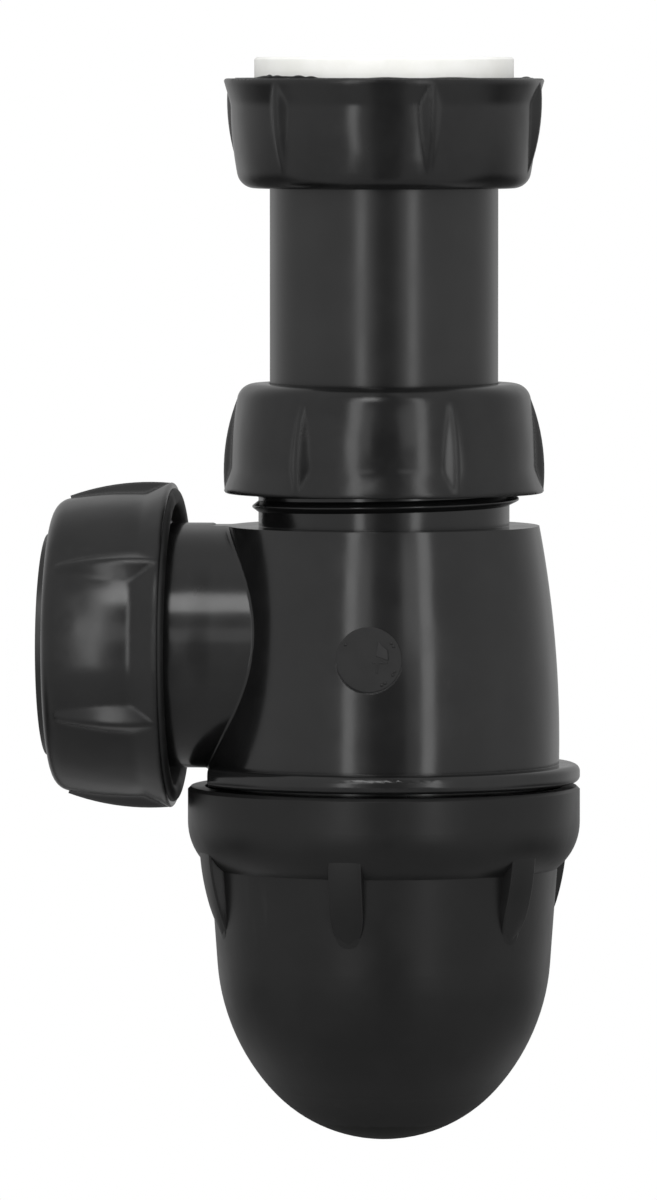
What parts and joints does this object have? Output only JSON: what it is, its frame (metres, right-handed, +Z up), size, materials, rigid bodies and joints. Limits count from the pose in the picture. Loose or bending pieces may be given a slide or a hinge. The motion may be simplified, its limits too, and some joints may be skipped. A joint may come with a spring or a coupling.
{
  "type": "basin bottle trap",
  "caption": "Wash basin bottle trap with a telescopic inlet tube, ribbed screw nuts, a side outlet and a screw-off cleaning cup with an egg-shaped bottom.",
  "frame": {"origin": "middle of the upper face of the inlet washer, where the trap seals against the basin waste", "axes": "+Z up along the inlet axis, -X along the outlet, -Y towards the front with the mould mark"},
  "size_m": [0.0829, 0.0608, 0.1681],
  "materials": {
    "white_washer": "soft white plastic with a low sheen",
    "black_nut": "satin black moulded plastic",
    "black_tube": "smooth black extruded plastic",
    "black_body": "satin black moulded plastic",
    "black_cup": "satin black moulded plastic",
    "black_rubber": "black rubber",
    "pale_ring": "plain hard plastic"
  },
  "bodies": {
    "inlet": {"inlet_tube": "black_tube", "inlet_washer": "white_washer"},
    "inlet_nut": {"inlet_nut": "black_nut"},
    "neck_seal": {"neck_seal": "black_rubber"},
    "trap": {"trap_body": "black_body", "outlet_seal": "black_rubber"},
    "neck_ring": {"neck_slip_ring": "pale_ring"},
    "neck_nut": {"neck_nut": "black_nut"},
    "outlet_ring": {"outlet_slip_ring": "pale_ring"},
    "outlet_nut": {"outlet_nut": "black_nut"},
    "cup_seal": {"cup_seal": "black_rubber"},
    "cup": {"trap_cup": "black_cup"}
  },
  "joints": [
    {"name": "inlet_nut_spin", "type": "hinge", "parent": "inlet", "child": "inlet_nut", "pos_m": [0, 0, -0.0118], "axis": [0, 0, 1], "continuous": true},
    {"name": "telescope", "type": "slide", "parent": "inlet", "child": "neck_seal", "axis": [0, 0, 1], "range_m": [-0.025, 0.02]},
    {"name": "swivel", "type": "hinge", "parent": "neck_seal", "child": "trap", "pos_m": [0, 0, -0.0585], "axis": [0, 0, 1], "continuous": true},
    {"name": "neck_nut_travel", "type": "slide", "parent": "trap", "child": "neck_ring", "axis": [0, 0, 1], "range_m": [0, 0.0064]},
    {"name": "neck_nut_turn", "type": "hinge", "parent": "neck_ring", "child": "neck_nut", "pos_m": [0, 0, -0.059], "axis": [0, 0, 1], "range_deg": [0, 990]},
    {"name": "outlet_nut_travel", "type": "slide", "parent": "trap", "child": "outlet_ring", "axis": [-1, 0, 0], "range_m": [0, 0.0082]},
    {"name": "outlet_nut_turn", "type": "hinge", "parent": "outlet_ring", "child": "outlet_nut", "pos_m": [-0.042, 0, -0.0913], "axis": [-1, 0, 0], "range_deg": [0, 1260]},
    {"name": "cup_travel", "type": "slide", "parent": "trap", "child": "cup_seal", "axis": [0, 0, -1], "range_m": [0, 0.0068]},
    {"name": "cup_turn", "type": "hinge", "parent": "cup_seal", "child": "cup", "pos_m": [0, 0, -0.12], "axis": [0, 0, -1], "range_deg": [0, 810]}
  ],
  "couplings": [
    {"joint": "neck_nut_travel", "follows": "neck_nut_turn", "m_per_rad": 0.00036749},
    {"joint": "outlet_nut_travel", "follows": "outlet_nut_turn", "m_per_rad": 0.00036749},
    {"joint": "cup_travel", "follows": "cup_turn", "m_per_rad": 0.00047746}
  ]
}
